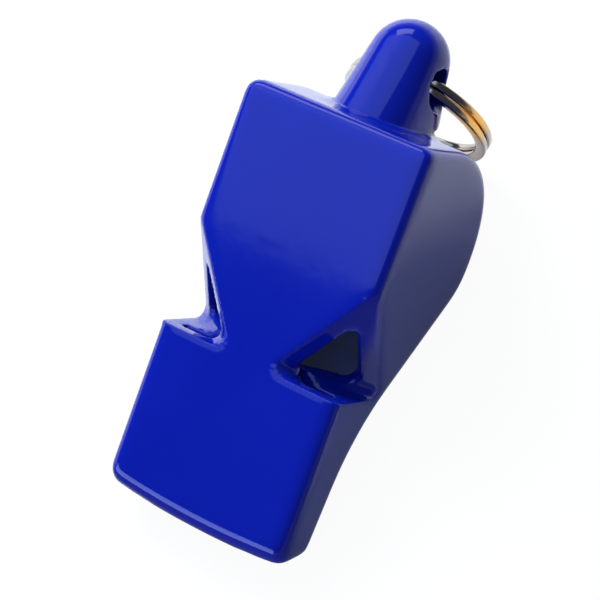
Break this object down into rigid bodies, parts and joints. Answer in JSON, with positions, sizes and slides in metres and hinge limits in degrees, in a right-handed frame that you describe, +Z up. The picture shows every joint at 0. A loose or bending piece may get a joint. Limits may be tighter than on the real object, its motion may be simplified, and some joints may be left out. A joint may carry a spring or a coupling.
{
  "type": "pealess whistle on a split ring",
  "caption": "Pealess sports whistle with a flat top, side air notches, a rounded belly and a lug that carries a metal split ring.",
  "frame": {"origin": "on the surface that the whistle lies on, under the middle of the whole object's bounding box", "axes": "+Y towards the lug and the ring, +X to the right as seen from the mouth end, +Z up"},
  "size_m": [0.02, 0.0502, 0.0229],
  "materials": {
    "body_plastic": "polished moulded blue plastic",
    "inner_plastic": "plain moulded blue plastic",
    "ring_nickel": "bright nickel plate on spring steel wire"
  },
  "bodies": {
    "whistle_body": {"whistle_shell": "body_plastic", "chamber_divider": "inner_plastic", "belly_cover": "body_plastic"},
    "ring": {"split_ring": "ring_nickel"}
  },
  "joints": [
    {"name": "ring_swing", "type": "hinge", "parent": "whistle_body", "child": "ring", "pos_m": [0, 0.02, 0.01544], "axis": [1, 0, 0], "range_deg": [-19, 223]}
  ]
}
